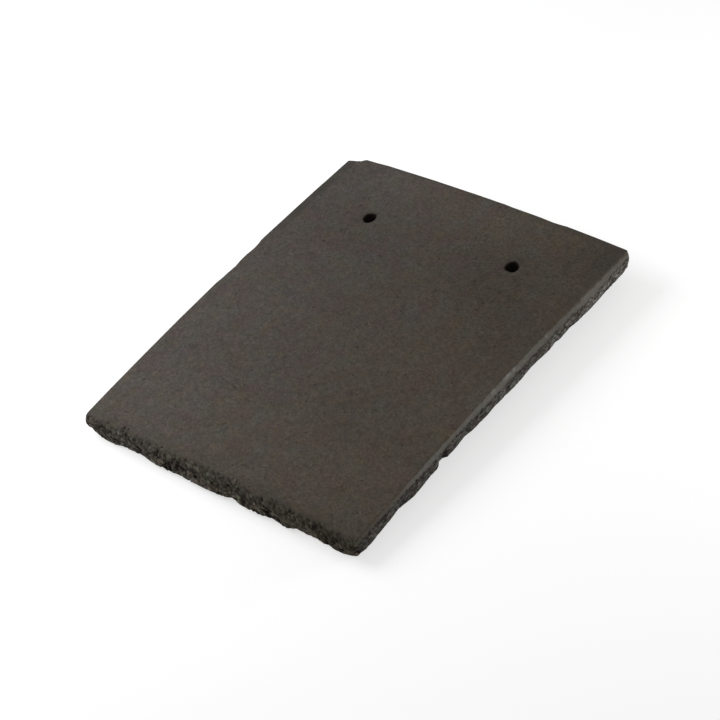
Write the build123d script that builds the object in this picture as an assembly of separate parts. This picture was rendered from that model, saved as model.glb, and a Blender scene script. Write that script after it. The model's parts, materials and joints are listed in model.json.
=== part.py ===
from build123d import *
import math
import os

# Concrete plain tile, the short length laid at eaves and at the top course.
# Millimetres. While it is being shaped, X runs across the tile, Y from its tail to its head,
# and Z = 0 is the crown of the weather face. It is set down on a level floor at the end.

# Overall size
tile_width = 165.0
tile_length = 190.0
tile_thickness = 10.5

# Camber: how far the crown stands above the ends and above the long edges
length_camber = 2.6
width_camber = 2.4

# Long edges: a smooth band leans out under the weather face, and below it the edge tapers in
band_height = 3.2
band_lean = 0.8
edge_taper = 2.2

# Ends, arrises and corners
tail_nose_radius = 3.4
arris_radius = 0.8
corner_radius = 2.0

# Nail holes, with the shallow dish that the punch leaves round each mouth
nail_hole_diameter = 7.0
nail_hole_spacing = 84.0
nail_hole_from_head = 33.3
nail_dish_diameter = 13.0
nail_dish_depth = 0.5

# Nibs, which hook over the batten
nib_spacing = 88.0
nib_width = 32.0
nib_from_head = 3.5
nib_depth = 12.5
nib_drop = 10.0
nib_face_draft = 5.0
nib_back_draft = 14.0
nib_side_draft = 10.0
nib_tip_radius = 1.8
nib_root_radius = 2.0

# The corner that is broken off, at the head on the left
chip_along_head = 6.4
chip_along_side = 4.8
chip_slant_angle = 14.0

# Worked out from the sizes above
half_width = tile_width / 2
half_length = tile_length / 2
head_y = half_length
tail_y = -half_length
face_half_width = half_width - band_lean
under_half_width = half_width - edge_taper
length_radius = (half_length**2 + length_camber**2) / (2 * length_camber)
width_radius = (half_width**2 + width_camber**2) / (2 * width_camber)
camber_axis = Axis((0, 0, -length_radius), (1, 0, 0))
run_past_ends = 2 * tile_thickness
sweep_angle = 2 * math.degrees(math.asin((half_length + run_past_ends) / length_radius))
cutter_height = 4 * (tile_thickness + nib_drop)
nail_hole_y = head_y - nail_hole_from_head
nib_face_y = head_y - nib_from_head - nib_depth


def arch(x, radius):
    """Height of an arc across the tile, concentric with the weather face."""
    return math.sqrt(radius**2 - x**2) - width_radius


def weather_face_z(x, y):
    """Height of the weather face."""
    return math.sqrt((length_radius + arch(x, width_radius)) ** 2 - y**2) - length_radius


def underside_z(x, y):
    """Height of the underside, which runs parallel to the weather face."""
    across = arch(x, width_radius - tile_thickness)
    return math.sqrt((length_radius + across) ** 2 - y**2) - length_radius


nib_foot_z = underside_z(nib_spacing / 2, nib_face_y) - nib_drop


def ribbon_section():
    """The section across the ribbon of concrete that the tile is cut from."""
    face_edge_z = arch(face_half_width, width_radius)
    under_edge_z = arch(under_half_width, width_radius - tile_thickness)
    with BuildSketch(Plane.XZ) as section:
        with BuildLine():
            ThreePointArc((-face_half_width, face_edge_z), (0, 0), (face_half_width, face_edge_z))
            ThreePointArc(
                (-under_half_width, under_edge_z),
                (0, -tile_thickness),
                (under_half_width, under_edge_z),
            )
            for side in (-1, 1):
                Polyline(
                    (side * face_half_width, face_edge_z),
                    (side * half_width, face_edge_z - band_height),
                    (side * under_half_width, under_edge_z),
                )
        make_face()
        face_edges = [v for v in section.vertices() if abs(v.Z - face_edge_z) < band_height / 2]
        fillet(face_edges, arris_radius)
    return section.sketch.face()


def ribbon():
    """That section carried along the arc of the length camber, past both ends of the tile."""
    start = ribbon_section().rotate(camber_axis, -sweep_angle / 2)
    return revolve(start, camber_axis, sweep_angle)


def end_rounding(end, radius):
    """The cutter that rounds the weather face over one end, along the arc of the width camber."""
    end_y = end * half_length
    fall = math.asin(half_length / length_radius)
    face_z = weather_face_z(0, end_y)
    centre_y = end_y - end * radius
    centre_z = face_z + radius * math.tan(fall) - radius / math.cos(fall)
    top_y = centre_y + end * radius * math.sin(fall)
    top_z = centre_z + radius * math.cos(fall)
    halfway = (math.pi / 2 + fall) / 2
    middle_y = centre_y + end * radius * math.sin(halfway)
    middle_z = centre_z + radius * math.cos(halfway)
    with BuildSketch(Plane.YZ) as waste:
        with BuildLine():
            ThreePointArc((end_y, centre_z), (middle_y, middle_z), (top_y, top_z))
            Polyline(
                (top_y, top_z),
                (top_y, face_z + tile_thickness),
                (end_y + end * run_past_ends, face_z + tile_thickness),
                (end_y + end * run_past_ends, centre_z),
                (end_y, centre_z),
            )
        make_face()
    width_axis = Axis((0, 0, face_z - width_radius), (0, 1, 0))
    half_turn = math.degrees(math.asin((half_width + run_past_ends) / width_radius))
    start = waste.sketch.face().rotate(width_axis, -half_turn)
    return revolve(start, width_axis, 2 * half_turn)


def slab():
    """The ribbon cut to length, both ends rounded over and the four corners taken off."""
    with BuildSketch() as outline:
        RectangleRounded(tile_width, tile_length, corner_radius)
    body = ribbon() & extrude(outline.sketch, cutter_height / 2, both=True)
    body = body - end_rounding(-1, tail_nose_radius)
    return body - end_rounding(1, arris_radius)


def nib(side):
    """One nib, drafted on its four walls and nearly square towards the batten."""
    centre_x = side * nib_spacing / 2
    root_z = nib_foot_z + nib_drop
    top_z = -tile_thickness / 2
    middle_y = nib_face_y + nib_depth / 2
    block = Pos(centre_x, middle_y, (nib_foot_z + top_z) / 2) * Box(
        2 * nib_width, 2 * nib_depth, top_z - nib_foot_z
    )
    walls = (
        (Vector(centre_x, nib_face_y, root_z), Vector(0, -1, 0), nib_face_draft),
        (Vector(centre_x, nib_face_y + nib_depth, root_z), Vector(0, 1, 0), nib_back_draft),
        (Vector(centre_x - nib_width / 2, middle_y, root_z), Vector(-1, 0, 0), nib_side_draft),
        (Vector(centre_x + nib_width / 2, middle_y, root_z), Vector(1, 0, 0), nib_side_draft),
    )
    for point, outward, draft in walls:
        lean = math.radians(draft)
        normal = outward * math.cos(lean) - Vector(0, 0, math.sin(lean))
        block = block.split(Plane(origin=point, z_dir=normal), keep=Keep.BOTTOM)
    return block.fillet(nib_tip_radius, block.faces().sort_by(Axis.Z)[0].edges())


def with_nibs(body):
    """Both nibs, blended into the underside at their roots."""
    for side in (-1, 1):
        body = body + nib(side)
    underside = body.faces().filter_by(lambda face: len(face.inner_wires()) == 2)[0]
    roots = [edge for wire in underside.inner_wires() for edge in wire.edges()]
    return body.fillet(nib_root_radius, roots)


def nail_hole(side):
    """The cutter of one nail hole and of its dish."""
    x = side * nail_hole_spacing / 2
    dish_radius = ((nail_dish_diameter / 2) ** 2 + nail_dish_depth**2) / (2 * nail_dish_depth)
    dish_z = weather_face_z(x, nail_hole_y) - nail_dish_depth + dish_radius
    bore = Pos(x, nail_hole_y, 0) * Cylinder(nail_hole_diameter / 2, cutter_height)
    return bore + Pos(x, nail_hole_y, dish_z) * Sphere(dish_radius)


def broken_corner():
    """What is missing past the break, which slants outward as it goes down."""
    corner_z = weather_face_z(face_half_width, head_y)
    along_head = Vector(-face_half_width + chip_along_head, head_y, corner_z)
    along_side = Vector(-face_half_width, head_y - chip_along_side, corner_z)
    run = along_head - along_side
    slant = math.radians(chip_slant_angle)
    outward = Vector(-run.Y, run.X, 0).normalized()
    normal = outward * math.cos(slant) + Vector(0, 0, math.sin(slant))
    break_plane = Plane(origin=(along_head + along_side) * 0.5, x_dir=run, z_dir=normal)
    return break_plane * Box(
        cutter_height, cutter_height, cutter_height, align=(Align.CENTER, Align.CENTER, Align.MIN)
    )


def rest_angle():
    """How far the tile leans when it stands on its nibs' feet and the corners of its tail."""
    tail_z = underside_z(under_half_width, tail_y)
    foot_y = nib_face_y + nib_drop * math.tan(math.radians(nib_face_draft))
    round_y = foot_y + nib_tip_radius / math.tan(math.radians((90 + nib_face_draft) / 2))
    round_z = nib_foot_z + nib_tip_radius
    reach = math.hypot(round_y - tail_y, round_z - tail_z)
    slope = math.atan2(round_z - tail_z, round_y - tail_y)
    return math.degrees(math.asin(nib_tip_radius / reach) - slope)


tile = with_nibs(slab())
for side in (-1, 1):
    tile = tile - nail_hole(side)
tile = tile - broken_corner()

# Set down on the floor, with the middle of its box over the origin
tile = tile.rotate(Axis.X, rest_angle())
stance = tile.bounding_box()
tile = Pos(0, -stance.center().Y, -stance.min.Z) * tile

os.makedirs("parts", exist_ok=True)
export_step(tile, "parts/plain_tile.step")
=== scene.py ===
import json
import math
import random

import bpy
import numpy as np
from mathutils import Matrix, Vector, kdtree, noise


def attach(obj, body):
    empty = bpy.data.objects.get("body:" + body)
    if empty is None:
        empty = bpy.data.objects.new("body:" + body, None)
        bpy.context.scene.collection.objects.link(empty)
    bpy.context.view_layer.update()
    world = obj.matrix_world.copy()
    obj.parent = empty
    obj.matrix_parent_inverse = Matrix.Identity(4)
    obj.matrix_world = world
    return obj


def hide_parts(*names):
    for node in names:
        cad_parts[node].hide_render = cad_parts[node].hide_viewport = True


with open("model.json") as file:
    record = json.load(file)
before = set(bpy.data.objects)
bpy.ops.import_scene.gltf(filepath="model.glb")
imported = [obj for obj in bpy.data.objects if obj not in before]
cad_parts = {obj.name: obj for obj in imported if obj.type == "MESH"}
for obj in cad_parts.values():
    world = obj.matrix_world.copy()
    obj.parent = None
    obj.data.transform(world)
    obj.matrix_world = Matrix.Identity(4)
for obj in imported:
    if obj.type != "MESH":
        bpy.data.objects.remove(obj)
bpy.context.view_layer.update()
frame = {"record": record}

record = frame["record"]

# The tile is drawn in millimetres in its own frame: X across, Y from tail to head, Z up from the
# crown of the weather face. At the end it is leaned and set down as the CAD tile lies.

# Sizes of the tile, in millimetres
half_width = 82.5
half_length = 95.0
thickness = 10.5
length_camber = 2.6
width_camber = 2.4
length_radius = (half_length**2 + length_camber**2) / (2 * length_camber)
width_radius = (half_width**2 + width_camber**2) / (2 * width_camber)
corner_radius = 2.0
tail_nose_radius = 3.4
head_arris_radius = 0.8
band_lean = 0.8
band_height = 3.2
edge_taper = 2.2
hole_x = 42.0
hole_y = 61.7
hole_radius = 3.5
dish_radius = 6.5
dish_depth = 0.5
nib_x = 44.0
nib_half_width = 16.0
nib_face_y = 79.0
nib_back_y = 91.5
nib_drop = 10.0
nib_face_draft = 5.0
nib_back_draft = 14.0
nib_side_draft = 10.0
nib_root_reach = 1.8
nib_tip_reach = 1.6
nib_round_steps = 6


def ease(low, high, value):
    """0 at low, 1 at high, and smooth between; low may be the larger one."""
    t = np.clip((value - low) / (high - low), 0, 1)
    return t * t * (3 - 2 * t)


def along(table, value):
    """The height that a table of (place, height) gives at a place."""
    places, heights = zip(*table)
    return np.interp(value, places, heights)


def arch(x, radius):
    """Height of an arc across the tile."""
    return np.sqrt(radius**2 - x**2) - width_radius


def weather_face(x, y):
    """Height of the weather face, without its rounded ends."""
    return np.sqrt((length_radius + arch(x, width_radius)) ** 2 - y**2) - length_radius


def rounded_drop(distance, radius):
    """How far a rounded edge has dropped at a distance from the end."""
    reach = np.clip(radius - distance, 0, radius)
    return radius - np.sqrt(radius**2 - reach**2)


def top_surface(x, y):
    """Height of the weather face with its tail nose and its head arris."""
    tail = rounded_drop(y + half_length, tail_nose_radius)
    head = rounded_drop(half_length - y, head_arris_radius)
    return weather_face(x, y) - tail - head


def underside(x, y):
    """Height of the plain underside."""
    across = arch(x, width_radius - thickness)
    return np.sqrt((length_radius + across) ** 2 - y**2) - length_radius


def bezier(first, corner, last, steps):
    """Points of a rounded corner."""
    t = np.linspace(0, 1, steps + 1)[:, None]
    first, corner, last = np.array(first), np.array(corner), np.array(last)
    return (1 - t) ** 2 * first + 2 * t * (1 - t) * corner + t**2 * last


def nib_wall(draft):
    """Distance in from a nib's edge at its root, and the height of its wall there."""
    lean = math.radians(draft)
    wall = np.array((math.sin(lean), math.cos(lean)))
    tip = np.array((nib_drop * math.tan(lean), nib_drop))
    root = bezier((-nib_root_reach, 0), (0, 0), nib_root_reach * wall, nib_round_steps)
    end = bezier(tip - nib_tip_reach * wall, tip, tip + (nib_tip_reach, 0), nib_round_steps)
    line = np.vstack((root, end))
    return line[:, 0], line[:, 1] / nib_drop


foot_z = float(underside(nib_x, nib_face_y)) - nib_drop
face_wall = nib_wall(nib_face_draft)
back_wall = nib_wall(nib_back_draft)
side_wall = nib_wall(nib_side_draft)


def underside_with_nibs(x, y):
    """Height of the underside and the two nibs."""
    from_middle = np.abs(np.abs(x) - nib_x)
    rise = np.interp(nib_half_width - from_middle, *side_wall)
    rise = rise * np.interp(y - nib_face_y, *face_wall) * np.interp(nib_back_y - y, *back_wall)
    plain = underside(x, y)
    return plain + (foot_z - plain) * rise


# Each nail hole takes the place of a square block of cells, 12 mm and 8 cells each way
hole_block = 6.0
hole_cells = 8

# Grid lines of the two faces, as runs of (where the run ends, how many cells), closer together at
# the walls of the nibs
across_runs = (
    (26.5, 17), (31.5, 7), (hole_x - hole_block, 3), (hole_x + hole_block, hole_cells),
    (56.5, 5), (61.5, 7), (77.3, 10),
)
along_runs = (
    (hole_y - hole_block, 86), (hole_y + hole_block, hole_cells), (77.3, 6), (82.0, 7), (87.2, 3),
)
top_start = -90.5
top_end = (93.4, 9)
low_start = -92.0
low_end = (93.6, 9)


def grid_lines(start, runs):
    """Line positions from a start through the runs."""
    places = [start]
    for end, cells in runs:
        places.extend(np.linspace(places[-1], end, cells + 1)[1:])
    return np.array(places)


half_lines = grid_lines(0.0, across_runs)
x_lines = np.concatenate((-half_lines[:0:-1], half_lines))
top_y_lines = grid_lines(top_start, along_runs + (top_end,))
low_y_lines = grid_lines(low_start, along_runs + (low_end,))
columns = len(x_lines)
rows = len(top_y_lines)

points = []
faces = []


def add(x, y, z):
    """A new point; gives its number."""
    points.append((float(x), float(y), float(z)))
    return len(points) - 1


def grid_points(y_lines, height):
    """Numbers of the points of one face's grid."""
    numbers = np.empty((columns, rows), dtype=int)
    for i in range(columns):
        for j in range(rows):
            numbers[i, j] = add(x_lines[i], y_lines[j], height(x_lines[i], y_lines[j]))
    return numbers


top_grid = grid_points(top_y_lines, top_surface)
low_grid = grid_points(low_y_lines, underside_with_nibs)


def boundary(numbers, first_i, last_i, first_j, last_j):
    """The points round a block of a grid, anticlockwise from above."""
    loop = [numbers[i, first_j] for i in range(first_i, last_i)]
    loop += [numbers[last_i, j] for j in range(first_j, last_j)]
    loop += [numbers[i, last_j] for i in range(last_i, first_i, -1)]
    loop += [numbers[first_i, j] for j in range(last_j, first_j, -1)]
    return [int(n) for n in loop]


# The rim joins the two grids. It runs down from the weather face to the underside in rows of
# (distance in from the outline, share of the thickness), the same number of rows for the long edges,
# the tail and the head. Its stations go round the tile, several to each cell of the grids.
split = 3
flat_rows = 5
round_rows = 7
band_rows = 6
wall_rows = 11
low_rows = 5
switch_row = flat_rows + round_rows + band_rows


def straight(first, last, steps):
    """Rows along a straight line, without its first point."""
    t = np.linspace(0, 1, steps + 1)[1:, None]
    return np.array(first) * (1 - t) + np.array(last) * t


side_inset = 5.2
tail_inset = 4.5
head_inset = 1.6
low_side_inset = 5.2
low_tail_inset = 3.0
low_head_inset = 1.4


def side_rows():
    """Rows of a long edge: arris, leaning band, taper, worn lower edge."""
    arris_start = (1.425, 0)
    arris_end = (0.648, 0.606)
    taper_end = (edge_taper - 0.12, thickness - 0.4)
    low_edge = (edge_taper + 0.35, thickness)
    run = [[(side_inset, 0.0)]]
    run.append(straight((side_inset, 0), arris_start, flat_rows))
    run.append(bezier(arris_start, (band_lean, 0), arris_end, round_rows)[1:])
    run.append(straight(arris_end, (0, band_height), band_rows))
    run.append(straight((0, band_height), taper_end, wall_rows))
    run.append(straight(low_edge, (low_side_inset, thickness), low_rows))
    run = np.vstack(run)
    run[:, 1] /= thickness
    return run


def end_rows(inset, radius, low_inset):
    """Rows of the tail or the head: rounding, then the cut face, worn at its lower edge."""
    cut_end = (0, 0.95)
    low_edge = (0.35, 1)
    turn = np.radians(np.linspace(0, 90, round_rows + 1)[1:])
    nose = np.column_stack((radius * (1 - np.sin(turn)), np.zeros(round_rows)))
    run = [[(inset, 0.0)]]
    run.append(straight((inset, 0), (radius, 0), flat_rows))
    run.append(nose)
    run.append(straight((0, 0), cut_end, band_rows + wall_rows))
    run.append(straight(low_edge, (low_inset, 1), low_rows))
    return np.vstack(run)


side_line = side_rows()
tail_line = end_rows(tail_inset, tail_nose_radius, low_tail_inset)
head_line = end_rows(head_inset, head_arris_radius, low_head_inset)
row_count = len(side_line)

top_loop = boundary(top_grid, 0, columns - 1, 0, rows - 1)
low_loop = boundary(low_grid, 0, columns - 1, 0, rows - 1)
stations = len(top_loop) * split


def spread(loop):
    """Plan places of the stations along a loop of points."""
    corners = np.array([points[n][:2] for n in loop])
    following = np.roll(corners, -1, axis=0)
    parts = [corners + (following - corners) * s / split for s in range(split)]
    return np.stack(parts, axis=1).reshape(-1, 2)


# The outline, with rounded corners, and how far each station belongs to a side, the tail or the head
top_place = spread(top_loop)
low_place = spread(low_loop)
run_middle = (top_y_lines[0] + top_y_lines[-1]) / 2
half_run = (top_y_lines[-1] - top_y_lines[0]) / 2
outline = np.column_stack((
    top_place[:, 0] / x_lines[-1] * half_width,
    (top_place[:, 1] - run_middle) / half_run * half_length,
))
core = np.clip(
    outline,
    (-half_width + corner_radius, -half_length + corner_radius),
    (half_width - corner_radius, half_length - corner_radius),
)
outward = outline - core
outward /= np.linalg.norm(outward, axis=1)[:, None]
outline = core + outward * corner_radius
side_share = outward[:, 0] ** 2
tail_share = np.where(outward[:, 1] < 0, outward[:, 1] ** 2, 0)
head_share = np.where(outward[:, 1] > 0, outward[:, 1] ** 2, 0)

rim = np.empty((row_count, stations), dtype=int)
rim_depth = {}
rim_station = {}
for row in range(row_count):
    if row <= switch_row:
        inner = top_place
        insets = (side_inset, tail_inset, head_inset)
    else:
        inner = low_place
        insets = (low_side_inset, low_tail_inset, low_head_inset)
    share_in = (
        side_share * side_line[row, 0] / insets[0]
        + tail_share * tail_line[row, 0] / insets[1]
        + head_share * head_line[row, 0] / insets[2]
    )
    share_down = (
        side_share * side_line[row, 1]
        + tail_share * tail_line[row, 1]
        + head_share * head_line[row, 1]
    )
    spots = outline + (inner - outline) * share_in[:, None]
    top = top_surface(spots[:, 0], spots[:, 1])
    low = underside(spots[:, 0], spots[:, 1])
    height = top + (low - top) * share_down
    for k in range(stations):
        on_grid = k % split == 0
        if row == 0 and on_grid:
            number = top_loop[k // split]
        elif row == row_count - 1 and on_grid:
            number = low_loop[k // split]
        else:
            number = add(spots[k, 0], spots[k, 1], height[k])
        rim[row, k] = number
        rim_depth[number] = float(share_down[k])
        rim_station[number] = (row, k)

for row in range(row_count - 1):
    for k in range(stations):
        after = (k + 1) % stations
        faces.append((rim[row, k], rim[row + 1, k], rim[row + 1, after], rim[row, after]))

# The rim's points between two neighbouring points of a grid's edge
between = {}
for row, loop in ((0, top_loop), (row_count - 1, low_loop)):
    for b, number in enumerate(loop):
        following = loop[(b + 1) % len(loop)]
        extra = [int(rim[row, b * split + s]) for s in range(1, split)]
        between[number, following] = extra
        between[following, number] = extra[::-1]


def cell(corners):
    """One cell of a grid, with the rim's points along its outer edges."""
    polygon = []
    for a, b in zip(corners, corners[1:] + corners[:1]):
        polygon.append(a)
        polygon.extend(between.get((a, b), ()))
    faces.append(tuple(polygon))


def block_span(side):
    """First and last lines of the block of cells round a nail hole."""
    first_i = int(np.argmin(np.abs(x_lines - (side * hole_x - hole_block))))
    first_j = int(np.argmin(np.abs(top_y_lines - (hole_y - hole_block))))
    return first_i, first_i + hole_cells, first_j, first_j + hole_cells


blocks = [block_span(side) for side in (-1, 1)]


def in_block(i, j):
    """True for a cell that a nail hole takes the place of."""
    return any(a <= i < b and c <= j < d for a, b, c, d in blocks)


for i in range(columns - 1):
    for j in range(rows - 1):
        if in_block(i, j):
            continue
        from_above = ((i, j), (i + 1, j), (i + 1, j + 1), (i, j + 1))
        from_below = ((i, j), (i, j + 1), (i + 1, j + 1), (i + 1, j))
        cell([int(top_grid[corner]) for corner in from_above])
        cell([int(low_grid[corner]) for corner in from_below])


# Nail holes: where the punch went through, and how far out of round each one is, as (direction in
# degrees from +X, share of the radius). Each has a soft dish round its mouth, and narrows a little
# over the first quarter of its bore.
left_hole = (-41.4, 61.0)
left_round = (
    (-73, 1.10), (-19, 1.08), (20, 0.98), (56, 1.04), (95, 0.88), (125, 0.86), (170, 0.90),
    (222, 0.86), (255, 0.98),
)
right_hole = (42.3, 62.4)
right_round = (
    (-81, 0.86), (-36, 1.12), (20, 1.05), (60, 0.96), (99, 1.08), (138, 0.94), (180, 0.92),
    (218, 0.98), (250, 0.84),
)
dish_power = 1.3
dish_loops = 9
bore_rows = 13
bore_narrowing = 0.12
narrow_share = 0.25
mouth_share = 0.03
under_loops = 5
down_bore = {}


def dish(distance):
    """Depth of the dish at a distance from the middle of a hole."""
    share = np.clip(distance / dish_radius, 0, 1)
    return dish_depth * (1 - share**2) ** dish_power


def nail_hole(centre, table, block):
    """The points and faces of one nail hole, from the weather face to the underside."""
    centre = np.array(centre)
    angles, shares = zip(*table)
    above = boundary(top_grid, *block)
    below = boundary(low_grid, *block)
    edge = np.array([points[n][:2] for n in above]) - centre
    turn = np.arctan2(edge[:, 1], edge[:, 0])
    radius = hole_radius * np.interp(np.degrees(turn), angles, shares, period=360)
    mouth = np.column_stack((np.cos(turn), np.sin(turn))) * radius[:, None]
    loops = [above]
    for step in range(1, dish_loops + 1):
        t = step / dish_loops
        spots = centre + edge * (1 - t) + mouth * t
        distance = np.linalg.norm(spots - centre, axis=1)
        height = top_surface(spots[:, 0], spots[:, 1]) - dish(distance)
        loops.append([add(p[0], p[1], z) for p, z in zip(spots, height)])
    for n in loops[-1]:
        down_bore[n] = mouth_share
    start = top_surface(*centre) - dish(hole_radius)
    finish = underside(*centre)
    for step in range(1, bore_rows + 1):
        t = step / bore_rows
        spots = centre + mouth * (1 - bore_narrowing * ease(0, narrow_share, t))
        loops.append([add(p[0], p[1], start + (finish - start) * t) for p in spots])
        for n in loops[-1]:
            down_bore[n] = t
    for step in range(1, under_loops):
        t = step / under_loops
        spots = centre + mouth * (1 - t) + edge * t
        loops.append([add(p[0], p[1], underside(p[0], p[1])) for p in spots])
    loops.append(below)
    for first, second in zip(loops, loops[1:]):
        for k in range(len(first)):
            after = (k + 1) % len(first)
            faces.append((first[k], first[after], second[after], second[k]))


nail_hole(left_hole, left_round, blocks[0])
nail_hole(right_hole, right_round, blocks[1])

# Points that no face uses are dropped. Each one left keeps how far down the rim or the bore it is,
# as a share, and its row and station on the rim.
used = sorted({int(n) for face in faces for n in face})
renumber = {n: k for k, n in enumerate(used)}
faces = [tuple(renumber[int(n)] for n in face) for face in faces]
shape = np.array([points[n] for n in used])
depth = np.array([rim_depth.get(n, 0.0) for n in used])
row_of = np.array([rim_station.get(n, (-1, 0))[0] for n in used])
station_of = np.array([rim_station.get(n, (-1, 0))[1] for n in used])
bore = np.array([down_bore.get(n, 0.0) for n in used])
on_rim = row_of >= 0

mesh = bpy.data.meshes.new("tile_surface")
mesh.from_pydata([tuple(p) for p in shape], [], faces)
mesh.update()
normal = np.empty(len(shape) * 3)
mesh.vertices.foreach_get("normal", normal)
normal = normal.reshape(-1, 3)

# Where every point lies before any wear
x, y, z = shape.T
to_tail = y + half_length
to_head = half_length - y
grain_shift = (17.3, 5.1, 11.7)


def grain(size, octaves, offset):
    """Noise at every point as it lies now, of a size in millimetres, about -1 to 1."""
    shift = Vector([offset * step for step in grain_shift])
    return np.array([noise.fractal(Vector(p) / size + shift, 1.0, 2.0, octaves) for p in shape])


def blot(middle_x, middle_y, reach_x, reach_y):
    """A soft round patch, seen from above, 1 in its middle."""
    return np.exp(-(((x - middle_x) / reach_x) ** 2 + ((y - middle_y) / reach_y) ** 2) / 2)


# Where the surface is rough: the cut tail and head, and the long edges below their smooth band.
# Places are in millimetres from here on, and depth is a share of the thickness.
wall_end = switch_row + wall_rows
rim_side = np.where(on_rim, side_share[station_of], 0)
rim_tail = np.where(on_rim, tail_share[station_of], 0)
rim_head = np.where(on_rim, head_share[station_of], 0)
wander = grain(size=7.0, octaves=3, offset=1)
small_wander = grain(size=2.4, octaves=2, offset=9)
tail_rough = ease(3.4, 1.2, to_tail + 1.5 * wander + 0.8 * small_wander)
tail_rough = tail_rough * ease(row_count, wall_end, row_of)
band_end = 0.29 - 0.04 * ease(5, -25, y) - 0.06 * ease(-50, -72, y)
band_end += 0.05 * ease(50, 66, y) - 0.07 * ease(76, 86, y)
side_rough = ease(band_end - 0.05, band_end + 0.06, depth + 0.05 * wander)
side_rough = rim_side * side_rough * ease(1.02, 0.98, depth)
head_rough = rim_head * ease(0.04, 0.16, depth) * ease(1.02, 0.98, depth)
rough = np.maximum.reduce((tail_rough * (1 - rim_side), side_rough, head_rough))
rough = np.where(on_rim, np.maximum(rough, tail_rough * (1 - rim_head)), 0)

# How far the lower edge stands out from the plain outline, in millimetres, along the tail from
# left to right and along the right edge from tail to head
tail_edge = (
    (-82, -1.8), (-78, -1.6), (-74, -0.6), (-69, -0.2), (-64, -0.2), (-60, -0.8), (-50, -0.9),
    (-45, -0.6), (-41, 0.2), (-37, 0.7), (-30, 0.6), (-26, 0.6), (-22, 0.2), (-18, 0.7), (-6, 1.0),
    (2, 0.9), (6, 0.4), (10, -0.8), (15, 0.5), (20, 0.8), (28, 0.6), (34, -0.2), (38, 0.1),
    (42, 0.5), (47, -1.2), (52, -1.1), (57, -1.4), (62, -0.9), (72, -0.8), (77, -1.6), (82, -2.4),
)
right_edge = (
    (-95, -1.6), (-90, -0.5), (-84, -0.3), (-78, -0.6), (-72, -0.8), (-65, -1.4), (-60, -0.3),
    (-57, 0.3), (-52, 0.2), (-45, -0.4), (-41, -0.1), (-39.5, -0.5), (-37, -2.2), (-35, -2.2),
    (-33.5, -0.5), (-28, -0.4), (-21, -1.0), (-17, -0.2), (-7, 0.3), (-2, -0.1), (13, 0.6),
    (24, -0.2), (36, 0.5), (41, -0.1), (43, 0.6), (51, 0.1), (56, 0.8), (66, 1.0), (73, 0.6),
    (84, 0.2), (90, -0.1), (95, -0.5),
)
# How far the upper left edge is worn in, from tail to head
left_edge = (
    (-95, 0.0), (-4, 0.0), (0, 0.4), (4, 0.55), (9, 0.95), (13, 0.45), (17, 0.45), (22, 0.95),
    (25, 0.75), (28, 0.1), (34, 0.0), (68, 0.0), (74, 0.15), (95, 0.15),
)
# How far the head stands out, from left to right
head_edge = (
    (-82, -0.3), (-66, -0.2), (-60, 0.15), (12, 0.3), (17, 0.05), (34, 0.0), (41, -0.2), (44, 0.0),
    (48, 0.4), (66, 0.3), (82, 0.2),
)
# The first two, with a little added all along, come in down the rim, and all four fade out again
# under the tile
lower_edge_out = 0.2
into = np.where(on_rim, ease(0.12, 0.75, depth), 0)
low_fade = np.where(row_of > wall_end, 1 - (row_of - wall_end) / low_rows, 1.0)

# Crumbs and pits: how far each point moves out, in millimetres, and how much of a hollow it lies
# in, which is painted as shade. The zone says how strong they are: less on the long edges, at the
# foot of the rim and at the head's right corner.
seeds = random.Random(4)
crumb_relief = 0.26
less_on_sides = 0.4
less_at_foot = 0.65
less_at_corner = 0.75
calm_reach = 4.0
deepest = -1.5
highest = 0.7
coarse = grain(size=3.2, octaves=3, offset=2)
fine = grain(size=1.3, octaves=2, offset=3)
zone = np.where(on_rim, 1 - less_on_sides * rim_side, 1)
zone = zone * np.where(on_rim, 1 - less_at_foot * ease(0.85, 0.98, depth), 1)
zone = zone * (1 - less_at_corner * blot(half_width, half_length, calm_reach, calm_reach))
move = rough * zone * (crumb_relief * coarse + crumb_relief * fine)
hollow_shade = rough * np.clip(-0.6 * coarse - 0.7 * fine - 0.12, 0, 1)

neighbours = kdtree.KDTree(len(shape))
for k, p in enumerate(shape):
    neighbours.insert(p, k)
neighbours.balance()


def scatter(weight, count, smallest, largest, height, hollow):
    """Crumbs, or pits, whose height is negative, at points chosen by weight."""
    chosen = seeds.choices(range(len(shape)), weights=weight.tolist(), k=count)
    for k in chosen:
        size = smallest + (largest - smallest) * seeds.random() ** 2
        lift = height * size * (0.6 + 0.8 * seeds.random())
        for _, n, distance in neighbours.find_range(shape[k], size):
            bump = 1 - (distance / size) ** 2
            move[n] += lift * bump * zone[n]
            hollow_shade[n] += hollow * bump


under_band = rim_side * ease(band_end - 0.02, band_end + 0.05, depth)
under_band = under_band * ease(band_end + 0.2, band_end + 0.1, depth)
clusters = rough * np.clip(rim_tail + ease(2.5, 1.0, to_tail), 0, 1)
clusters = clusters * ease(-0.05, 0.45, grain(size=8.0, octaves=2, offset=31))
scatter(rough, count=1100, smallest=0.6, largest=1.5, height=0.20, hollow=-0.4)
scatter(rough, count=1500, smallest=0.45, largest=1.0, height=-0.50, hollow=1.0)
scatter(rough, count=90, smallest=0.9, largest=1.8, height=-0.45, hollow=0.9)
scatter(under_band, count=300, smallest=0.4, largest=0.9, height=-0.5, hollow=0.5)
scatter(clusters, count=420, smallest=0.5, largest=1.1, height=-0.5, hollow=1.0)
hollow_shade = np.clip(hollow_shade, 0, 1)

# The faces are gently uneven, and the bores less so
swell_in_bore = 0.3
face_zone = np.where(on_rim, 1 - rough, 1.0)
swell = 0.10 * grain(size=38.0, octaves=2, offset=5) + 0.03 * grain(size=6.0, octaves=2, offset=6)
move += swell * face_zone * np.where(bore > 0, swell_in_bore, 1)
move = np.clip(move, deepest, highest)

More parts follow.
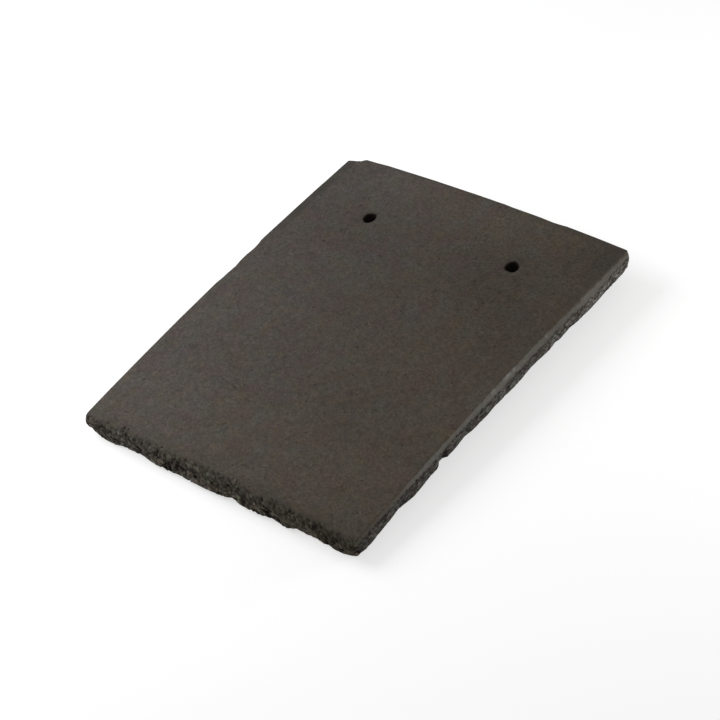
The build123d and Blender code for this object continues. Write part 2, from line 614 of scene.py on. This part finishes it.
shape = shape + normal * move[:, None]
shape[:, 0] += (along(right_edge, y) + lower_edge_out) * ease(73, 80, x) * into * low_fade
shape[:, 0] += along(left_edge, y) * ease(-74, -80, x) * low_fade
shape[:, 1] -= (along(tail_edge, x) + lower_edge_out) * ease(-84, -91, y) * into * low_fade
shape[:, 1] += along(head_edge, x) * ease(90, 94, y) * low_fade

each_way = 0.7


def wear_corner(corner_x, corner_y, reach, amount):
    """Draws the points near a corner in, by the same distance along X and along Y."""
    near = blot(corner_x, corner_y, reach, reach) * low_fade * amount
    shape[:, 0] -= math.copysign(each_way, corner_x) * near
    shape[:, 1] -= math.copysign(each_way, corner_y) * near


wear_corner(half_width, half_length, reach=2.2, amount=1.7 * ease(0.45, 1.05, depth) * on_rim)
wear_corner(half_width, -half_length, reach=2.2, amount=0.5 + 0.5 * into)
wear_corner(-half_width, -half_length, reach=2.0, amount=0.5)

# The corner that is broken off at the head, on the left: two breaks, each as (a place on the face,
# direction of its line in degrees from +X), and how rough they are in millimetres
break_slant = math.radians(14)
breaks = (((-77.5, 91.8), 14.5), ((-74.0, 93.3), 46.0))
break_relief = 0.3
far_off = 99.0
crumble = grain(size=2.2, octaves=3, offset=8)
beyond = np.full(len(shape), far_off)
break_out = np.zeros_like(shape)
for spot, direction in breaks:
    facing = math.radians(direction + 90)
    plan = np.array((math.cos(facing), math.sin(facing), 0))
    out = plan * math.cos(break_slant) + np.array((0, 0, math.sin(break_slant)))
    on_face = np.array(spot + (float(weather_face(*spot)),))
    past = (shape - on_face) @ out - break_relief * crumble
    nearer = past < beyond
    beyond[nearer] = past[nearer]
    break_out[nearer] = out
broken = beyond > 0
shape[broken] -= (beyond[:, None] * break_out)[broken]
rough = np.maximum(rough, ease(-break_relief, break_relief, beyond))

# Leaned and set down as the CAD tile lies, by the mount of its left nail hole, which the record
# gives in the middle of the bore, this far below the weather face
mount_below = 5.45
mounts = {mount["name"]: mount for mount in record["mounts"]}
axis = mounts["nail_hole_left"]["axis"]
lean = math.atan2(-axis[1], axis[2])
turn = np.array((
    (1, 0, 0),
    (0, math.cos(lean), -math.sin(lean)),
    (0, math.sin(lean), math.cos(lean)),
))
hole_middle = np.array((-hole_x, hole_y, float(weather_face(hole_x, hole_y)) - mount_below))
hole_place = np.array(mounts["nail_hole_left"]["pos_m"]) * 1000
placed = (shape - hole_middle) @ turn.T + hole_place
placed[:, 2] = np.maximum(placed[:, 2], 0.0)
mesh.vertices.foreach_set("co", (placed / 1000).ravel())
mesh.update()
mesh.polygons.foreach_set("use_smooth", [True] * len(mesh.polygons))


def keep(name, values):
    """Stores a number at each point for the material."""
    layer = mesh.attributes.new(name, "FLOAT", "POINT")
    layer.data.foreach_set("value", np.asarray(values, dtype=float))


# Marks that keep to the weather face and the top of the rim stay above these heights
edge_above = z > -9
darkening_and_shade_above = z > -8

# The smooth band of the long edges, and the thin dark edge at the head and on the left
band_start = 0.02 + 0.05 * ease(20, 60, y)
band = ease(band_start, band_start + 0.05, depth + 0.03 * fine + 0.06 * coarse * ease(0, 50, y))
band = rim_side * band * ease(band_end + 0.07, band_end - 0.04, depth + 0.03 * coarse)
band = band * (0.25 + 0.75 * ease(-75, -50, y))
edge = ease(2.2, 0.5, to_head + 0.6 * wander) * (0.5 + 0.4 * ease(0, 60, x)) * (1 - rim_side)
edge = np.maximum(edge, 0.6 * ease(-78.5, -81.5, x + 0.5 * wander) * ease(50, 80, y))
edge = np.maximum(edge, np.where(x < 0, rim_side, 0) * ease(0.2, 0.1, depth) * ease(20, 60, y))
edge = np.where((depth < 0.15) & edge_above, edge, 0)

# Darker at the head, painted shade along the right edge, and darker round the nail holes: dark
# patches as (x, y, reach along x, reach along y, strength), and a ring of painted shade at each mouth
dark_patches = ((-44.8, 57.6, 2.6, 2.2, 0.9), (39.4, 58.8, 3.0, 2.4, 0.7), (43.0, 67.0, 3.4, 1.6, 0.4))
darkening_and_shade = ease(5.0, 0.5, to_head + 1.5 * wander) * ease(-60, 60, x)
darkening_and_shade += 1.4 * ease(74, 80, x + 0.8 * wander) * ease(5, 60, y)
halo = np.zeros(len(shape))
for middle_x, middle_y, reach_x, reach_y, strength in dark_patches:
    halo += strength * blot(middle_x, middle_y, reach_x, reach_y)
# A ring of painted shade round each mouth
for middle_x, middle_y in (left_hole, right_hole):
    from_mouth = np.hypot(x - middle_x, y - middle_y) - hole_radius
    halo += (0.55 + 0.5 * coarse) * ease(1.5, 0.0, from_mouth)

# How light the concrete looks, 1 being plain, partly its own tone and partly painted light and shade:
# paler towards the tail, painted light on the camber; lighter or darker in patches given as (x, y,
# reach along x, reach along y, how much lighter), those darker near the right edge and at the head's
# right corner being painted shade; and darker across the nail holes
patch_table = (
    (15, -10, 45, 40, -0.05), (42, 54, 16, 16, -0.12), (78, 86, 16, 14, -0.26),
    (80, 88, 5, 8, -0.14), (-20, 84, 40, 8, 0.08), (-40, 86, 10, 7, 0.09), (10, 86, 10, 7, 0.05),
    (68, 28, 14, 16, -0.10), (-12, 14, 14, 26, -0.04), (-42, 50, 14, 10, -0.06),
    (38, -35, 16, 14, -0.04), (74, -84, 12, 8, -0.07),
)
tone_and_painted_light = 1 + 0.08 * ease(-45, -60, y) + 0.03 * ease(10, -10, y)
for middle_x, middle_y, reach_x, reach_y, lighter in patch_table:
    tone_and_painted_light += lighter * blot(middle_x, middle_y, reach_x, reach_y)
tone_and_painted_light -= 0.10 * np.exp(-(((y - 50) / 18) ** 2) / 2) * (0.6 + 0.4 * ease(-30, 30, x))

# Darker near the tail; paler on the lower part of the rim, which on the long edges is painted light,
# more so towards the head; paler on the band towards the head, a painted highlight; and paler on the
# left and right parts of the tail's nose
tone_and_painted_light -= (0.12 + 0.12 * ease(-10, 40, x)) * ease(9, 2.5, to_tail + wander) * ease(0.3, 0.05, depth)
lower_side = 1.25 + 0.15 * ease(-5, 35, y) + 0.4 * ease(48, 70, y)
tone_and_painted_light = np.where(on_rim, tone_and_painted_light + (lower_side - tone_and_painted_light) * rim_side * ease(0.3, 0.42, depth), tone_and_painted_light)
lower_tail = (0.75 - 0.4 * ease(-20, -45, x)) * rim_tail * ease(0.0, 0.4, depth)
tone_and_painted_light = np.where(on_rim, tone_and_painted_light * (1 + lower_tail), tone_and_painted_light)
tone_and_painted_light = tone_and_painted_light * (1 + 0.30 * band * ease(45, 62, y))
nose = ease(1.7, 0.7, to_tail) * ease(0.3, 0.1, depth) * (1 - rim_side)
nose_light = 0.5 * ease(12, -12, x) + 0.25 * ease(22, 40, x)
tone_and_painted_light = tone_and_painted_light * (1 + np.where(edge_above, nose_light * nose, 0))

# Pale flecks along the right arris, as (y, reach, strength)
fleck_table = ((9, 2.4, 0.7), (13.5, 0.8, 0.5), (-1, 1.2, 0.5), (36, 1.2, 0.3))
flecks = np.zeros(len(shape))
for fleck_y, reach, strength in fleck_table:
    flecks += strength * np.exp(-(((y - fleck_y) / reach) ** 2)) * (0.8 + 0.6 * fine)
flecks *= rim_side * np.where(x > 0, 1, 0) * ease(0.01, 0.05, depth) * ease(0.24, 0.1, depth)

# How brown it is, more so to the right, and where the tail's crumbs show through
patchy = ease(-0.45, 0.35, grain(size=13.0, octaves=2, offset=21))
cloudy = grain(size=30.0, octaves=2, offset=12)
brown = 0.5 + x / 130 + 0.25 * cloudy + 0.4 * ease(-50, -75, x) * ease(-60, -85, y)
brown = np.clip(brown, 0, 1)

keep("cut", rough * (1 - 0.30 * np.where(rim_tail > 0.3, 0, rim_side)))
keep("brown", brown * (1 - 0.85 * side_rough) * (1 - 0.6 * band))
keep("tone_and_painted_light", tone_and_painted_light)
keep("patchy", np.where(on_rim, 1 - rim_tail * (1 - patchy), 1))
keep("side", side_rough)
keep("cool", np.where(on_rim, np.maximum(side_rough, 0.6 * band), 0))
keep("fleck", np.clip(flecks, 0, 1))
# How deep in a hollow each point lies, to be painted as shade
keep("pit_shade", hollow_shade)
keep("band", band)
keep("edge", np.clip(edge * (0.8 + 0.8 * wander), 0, 1))
# Darker at the head, with painted shade along the right edge and round the nail holes
keep("darkening_and_shade", np.where(darkening_and_shade_above, np.clip(0.55 * darkening_and_shade + halo, 0, 1), 0))
# The bores, to be painted near black as shade
keep("bore", ease(0.0, 0.06, bore))

tile = bpy.data.objects.new("plain_tile_concrete", mesh)
bpy.context.scene.collection.objects.link(tile)


def new_material(name):
    """An empty node material, its tree and its output node."""
    material = bpy.data.materials.new(name)
    material.use_nodes = True
    material.node_tree.nodes.clear()
    output = material.node_tree.nodes.new("ShaderNodeOutputMaterial")
    return material, material.node_tree, output


# The concrete
concrete, concrete_tree, concrete_output = new_material("concrete")
nodes = concrete_tree.nodes
links = concrete_tree.links
shader = nodes.new("ShaderNodeBsdfPrincipled")
links.new(shader.outputs["BSDF"], concrete_output.inputs["Surface"])
object_place = nodes.new("ShaderNodeTexCoord").outputs["Object"]


def noise_map(scale, detail, roughness, where=object_place):
    """A noise with this many turns for each metre."""
    node = nodes.new("ShaderNodeTexNoise")
    node.inputs["Scale"].default_value = scale
    node.inputs["Detail"].default_value = detail
    node.inputs["Roughness"].default_value = roughness
    links.new(where, node.inputs["Vector"])
    return node.outputs["Fac"]


def remap(value, low, high, to_low=0.0, to_high=1.0, smooth=True):
    """A value carried from one range to another."""
    node = nodes.new("ShaderNodeMapRange")
    node.interpolation_type = "SMOOTHSTEP" if smooth else "LINEAR"
    node.inputs["From Min"].default_value = low
    node.inputs["From Max"].default_value = high
    node.inputs["To Min"].default_value = to_low
    node.inputs["To Max"].default_value = to_high
    links.new(value, node.inputs["Value"])
    return node.outputs["Result"]


def math_node(operation, a, b, c=1.0):
    """Two or three values, or numbers, joined by an operation."""
    node = nodes.new("ShaderNodeMath")
    node.operation = operation
    for socket, value in zip(node.inputs, (a, b, c)):
        if isinstance(value, (int, float)):
            socket.default_value = value
        else:
            links.new(value, socket)
    return node.outputs["Value"]


def mix(factor, a, b):
    """Two colours mixed. Inputs 0, 6 and 7 are the factor and the colours, output 2 the colour."""
    node = nodes.new("ShaderNodeMix")
    node.data_type = "RGBA"
    links.new(factor, node.inputs[0])
    for socket, value in ((node.inputs[6], a), (node.inputs[7], b)):
        if isinstance(value, tuple):
            socket.default_value = value + (1.0,)
        else:
            links.new(value, socket)
    return node.outputs[2]


def scaled(paint, factor):
    """A colour made lighter or darker by a factor."""
    node = nodes.new("ShaderNodeVectorMath")
    node.operation = "SCALE"
    links.new(paint, node.inputs[0])
    links.new(factor, node.inputs["Scale"])
    return node.outputs[0]


def times(value, factors):
    """A colour or a place whose three numbers are multiplied by three factors."""
    node = nodes.new("ShaderNodeVectorMath")
    node.operation = "MULTIPLY"
    node.inputs[1].default_value = factors
    links.new(value, node.inputs[0])
    return node.outputs[0]


def specks(scale, size, share, offset):
    """Sparse round specks: a share of the cells of a cellular pattern."""
    node = nodes.new("ShaderNodeTexVoronoi")
    node.inputs["Scale"].default_value = scale
    shift = nodes.new("ShaderNodeVectorMath")
    shift.operation = "ADD"
    shift.inputs[1].default_value = (offset, offset * 0.7, offset * 0.3)
    links.new(object_place, shift.inputs[0])
    links.new(shift.outputs[0], node.inputs["Vector"])
    apart = nodes.new("ShaderNodeSeparateColor")
    links.new(node.outputs["Color"], apart.inputs[0])
    near = remap(node.outputs["Distance"], size, size * 0.5)
    chosen = math_node("LESS_THAN", apart.outputs[0], share)
    return math_node("MULTIPLY", near, chosen)


def stored(name):
    """A number kept at the points."""
    node = nodes.new("ShaderNodeAttribute")
    node.attribute_name = name
    return node.outputs["Fac"]


purple_brown = (0.0620, 0.0470, 0.0444)
olive_grey = (0.0555, 0.0500, 0.0408)
pale_grey = (0.0775, 0.0688, 0.0632)
ochre = (0.0670, 0.0548, 0.0372)
slate_grey = (0.0550, 0.0526, 0.0525)
dark_brown = (0.0420, 0.0340, 0.0285)
edge_green = (0.0330, 0.0315, 0.0260)
speck_pale = (0.130, 0.118, 0.105)
speck_dark = (0.018, 0.015, 0.012)
fleck_white = (0.240, 0.235, 0.220)
band_grey = (0.097, 0.097, 0.087)
crumb_grey = (0.040, 0.036, 0.029)
crumb_pink = (0.135, 0.112, 0.097)
crumb_green = (0.107, 0.112, 0.089)
crumb_pale = (0.165, 0.155, 0.135)
painted_shade_black = (0.0085, 0.0058, 0.0038)
bore_shade_black = (0.0060, 0.0032, 0.0018)
brown_tint = (1.0, 0.955, 0.83)
cool_tint = (0.94, 1.01, 1.09)

# The face: patches of several greys and browns, then grain of three sizes as (scale, darkest,
# lightest), then pale and dark specks. Scales are in turns for each metre.
patches = remap(noise_map(110.0, 4.0, 0.75), 0.36, 0.64)
colour = mix(patches, purple_brown, olive_grey)
colour = mix(remap(noise_map(120.0, 3.0, 0.6), 0.52, 0.68, 0.0, 0.6), colour, ochre)
colour = mix(remap(noise_map(90.0, 3.0, 0.6), 0.47, 0.32, 0.0, 0.6), colour, slate_grey)
cloud = remap(noise_map(105.0, 4.0, 0.6), 0.30, 0.72)
colour = mix(math_node("MULTIPLY", cloud, 0.38), colour, pale_grey)
blots = remap(noise_map(230.0, 3.0, 0.6), 0.56, 0.74)
colour = mix(math_node("MULTIPLY", blots, 0.40), colour, dark_brown)
for scale, darkest, lightest in ((1500.0, 0.70, 1.30), (720.0, 0.76, 1.24), (330.0, 0.88, 1.12)):
    speckle = remap(noise_map(scale, 1.0, 0.5), 0.2, 0.8, darkest, lightest, smooth=False)
    colour = scaled(colour, speckle)
pale_specks = math_node("MULTIPLY", specks(scale=420.0, size=0.20, share=0.07, offset=0.0), 0.45)
colour = mix(pale_specks, colour, speck_pale)
dark_specks = math_node("MULTIPLY", specks(scale=330.0, size=0.24, share=0.12, offset=3.0), 0.7)
colour = mix(dark_specks, colour, speck_dark)

# The cut and broken parts: crumbs of several tints, with painted shade in the gaps and pits between
# them
cut = stored("cut")
crumb_scale = 620.0
grit = nodes.new("ShaderNodeTexVoronoi")
grit.inputs["Scale"].default_value = crumb_scale
links.new(object_place, grit.inputs["Vector"])
grit_tone = nodes.new("ShaderNodeSeparateColor")
links.new(grit.outputs["Color"], grit_tone.inputs[0])
crumb_tint = mix(remap(grit_tone.outputs[1], 0.2, 0.8), crumb_pink, crumb_green)
crumbs = mix(remap(grit_tone.outputs[0], 0.1, 0.95), crumb_grey, crumb_tint)
crumbs = mix(specks(scale=380.0, size=0.30, share=0.10, offset=7.0), crumbs, crumb_pale)
crumbs = mix(remap(grit.outputs["Distance"], 0.40, 0.80, 0.0, 0.75), crumbs, painted_shade_black)
crumbs = mix(remap(noise_map(520.0, 2.0, 0.6), 0.45, 0.37, 0.0, 0.95), crumbs, painted_shade_black)
colour = scaled(colour, math_node("MULTIPLY_ADD", cut, -0.35))
crumb_share = math_node("MULTIPLY", cut, remap(stored("patchy"), 0.0, 1.0, 0.45, 0.95))
colour = mix(crumb_share, colour, crumbs)

# Dark streaks drawn out along the long edges, painted as shade in grooves, then the tints and tones
# kept at the points
drawn_out = (1.0, 0.28, 1.0)
along_edge = times(object_place, drawn_out)
streaks = remap(noise_map(1100.0, 2.0, 0.6, along_edge), 0.50, 0.62, 0.0, 0.6)
colour = mix(math_node("MULTIPLY", streaks, stored("side")), colour, painted_shade_black)
colour = mix(stored("brown"), colour, times(colour, brown_tint))
colour = mix(stored("cool"), colour, times(colour, cool_tint))
# The smooth band made lighter, partly as its smoother skin and partly as a painted highlight
colour = mix(math_node("MULTIPLY", stored("band"), 0.45), colour, band_grey)
colour = scaled(colour, math_node("MULTIPLY_ADD", stored("band"), 0.3))
# Lightness kept at the points, partly the concrete's own tone and partly painted light and shade
colour = scaled(colour, stored("tone_and_painted_light"))
# Darkening with its painted shade, the thin dark edge and the pale flecks
for name, strength, paint in (
    ("darkening_and_shade", 0.5, dark_brown), ("edge", 0.7, edge_green), ("fleck", 0.7, fleck_white),
):
    colour = mix(math_node("MULTIPLY", stored(name), strength), colour, paint)
# Painted shade in the pits and hollows
colour = mix(stored("pit_shade"), colour, painted_shade_black)
# The bores painted near black: painted shade
colour = mix(stored("bore"), colour, bore_shade_black)
links.new(colour, shader.inputs["Base Color"])

shader.inputs["Specular IOR Level"].default_value = 0.14
rough_map = remap(noise_map(600.0, 2.0, 0.5), 0.3, 0.7, 0.80, 0.95)
links.new(rough_map, shader.inputs["Roughness"])

bump = nodes.new("ShaderNodeBump")
bump.inputs["Strength"].default_value = 0.55
bump.inputs["Distance"].default_value = 0.00016
larger_grain = math_node("MULTIPLY", noise_map(520.0, 3.0, 0.6), 1.2)
relief = math_node("ADD", noise_map(1900.0, 2.0, 0.6), larger_grain)
links.new(relief, bump.inputs["Height"])
links.new(bump.outputs["Normal"], shader.inputs["Normal"])

mesh.materials.append(concrete)
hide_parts("plain_tile")
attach(tile, "root")

# Camera, at the photograph's angle
azimuth = math.radians(53.168)
elevation = math.radians(40.001)
roll = math.radians(-18.059)
target = Vector((0.018405, -0.014586, 0.018868))
camera_distance = 1.057004
camera_data = bpy.data.cameras.new("camera")
camera_data.sensor_width = 36.0
camera_data.lens = 123.065
camera = bpy.data.objects.new("camera", camera_data)
back = Vector((
    math.sin(azimuth) * math.cos(elevation),
    -math.cos(azimuth) * math.cos(elevation),
    math.sin(elevation),
))
level_right = Vector((math.cos(azimuth), math.sin(azimuth), 0))
level_up = back.cross(level_right)
right = math.cos(roll) * level_right + math.sin(roll) * level_up
up = -math.sin(roll) * level_right + math.cos(roll) * level_up
stand_point = target + back * camera_distance
camera.matrix_world = Matrix.Translation(stand_point) @ Matrix((right, up, back)).transposed().to_4x4()
bpy.context.scene.collection.objects.link(camera)
bpy.context.scene.camera = camera


def softbox(name, where, towards, size, power, tint):
    """A rectangular lamp, (width, height) in metres, turned towards a point."""
    data = bpy.data.lights.new(name, "AREA")
    data.shape = "RECTANGLE"
    data.size = size[0]
    data.size_y = size[1]
    data.energy = power
    data.color = tint
    lamp = bpy.data.objects.new(name, data)
    lamp.location = where
    lamp.rotation_euler = (Vector(towards) - Vector(where)).to_track_quat("-Z", "Y").to_euler()
    bpy.context.scene.collection.objects.link(lamp)


# Soft studio light: a key from the left, a low lamp past the head's right corner and a white world
softbox(
    "key", where=(-0.36, -0.09, 0.34), towards=(-0.02, 0.0, 0.0), size=(0.36, 0.36),
    power=2.25, tint=(0.99, 1.0, 1.0),
)
softbox(
    "side", where=(0.32, 0.27, 0.055), towards=(0.08, 0.06, 0.01), size=(0.22, 0.07),
    power=1.1, tint=(1.0, 0.99, 0.97),
)
world_light = 0.38


def seen_directly(tree):
    """1 for rays that come from the camera or by way of a reflection or clear material."""
    path = tree.nodes.new("ShaderNodeLightPath")
    value = path.outputs["Is Camera Ray"]
    for name in ("Is Glossy Ray", "Is Transmission Ray"):
        node = tree.nodes.new("ShaderNodeMath")
        node.operation = "MAXIMUM"
        tree.links.new(value, node.inputs[0])
        tree.links.new(path.outputs[name], node.inputs[1])
        value = node.outputs[0]
    return value


def lit_and_seen(tree, lit, seen, output):
    """Shows one shader to the light, and another one to rays that are seen directly."""
    choose = tree.nodes.new("ShaderNodeMixShader")
    tree.links.new(seen_directly(tree), choose.inputs[0])
    tree.links.new(lit.outputs[0], choose.inputs[1])
    tree.links.new(seen.outputs[0], choose.inputs[2])
    tree.links.new(choose.outputs[0], output.inputs["Surface"])


def shader_node(tree, kind, colour, strength=None):
    """A shader of one colour, and of a strength if it has one."""
    node = tree.nodes.new(kind)
    node.inputs["Color"].default_value = colour + (1,)
    if strength is not None:
        node.inputs["Strength"].default_value = strength
    return node


pure_white = (1, 1, 1)
world = bpy.data.worlds.new("world")
bpy.context.scene.world = world
world.use_nodes = True
world.node_tree.nodes.clear()
world_output = world.node_tree.nodes.new("ShaderNodeOutputWorld")
soft = shader_node(world.node_tree, "ShaderNodeBackground", pure_white, world_light)
white = shader_node(world.node_tree, "ShaderNodeBackground", pure_white, 1.0)
lit_and_seen(world.node_tree, soft, white, world_output)

# Pale floor, which keeps the tile's shadow. For the camera it also glows, and comes out near white.
floor_reach = 6.0
floor_shade = (0.45, 0.45, 0.45)
floor_glow = 0.62
floor_grey = (0.6, 0.6, 0.6)
floor_corners = [
    (-floor_reach, -floor_reach, 0), (floor_reach, -floor_reach, 0),
    (floor_reach, floor_reach, 0), (-floor_reach, floor_reach, 0),
]
floor_mesh = bpy.data.meshes.new("floor")
floor_mesh.from_pydata(floor_corners, [], [(0, 1, 2, 3)])
floor = bpy.data.objects.new("floor", floor_mesh)
bpy.context.scene.collection.objects.link(floor)
floor_material, floor_tree, floor_output = new_material("floor_white")
shade = shader_node(floor_tree, "ShaderNodeBsdfDiffuse", floor_shade)
glow = shader_node(floor_tree, "ShaderNodeEmission", pure_white, floor_glow)
both = floor_tree.nodes.new("ShaderNodeAddShader")
floor_tree.links.new(shade.outputs[0], both.inputs[0])
floor_tree.links.new(glow.outputs[0], both.inputs[1])
plain = shader_node(floor_tree, "ShaderNodeBsdfDiffuse", floor_grey)
lit_and_seen(floor_tree, plain, both, floor_output)
floor_mesh.materials.append(floor_material)

bpy.context.scene.view_settings.view_transform = "Standard"
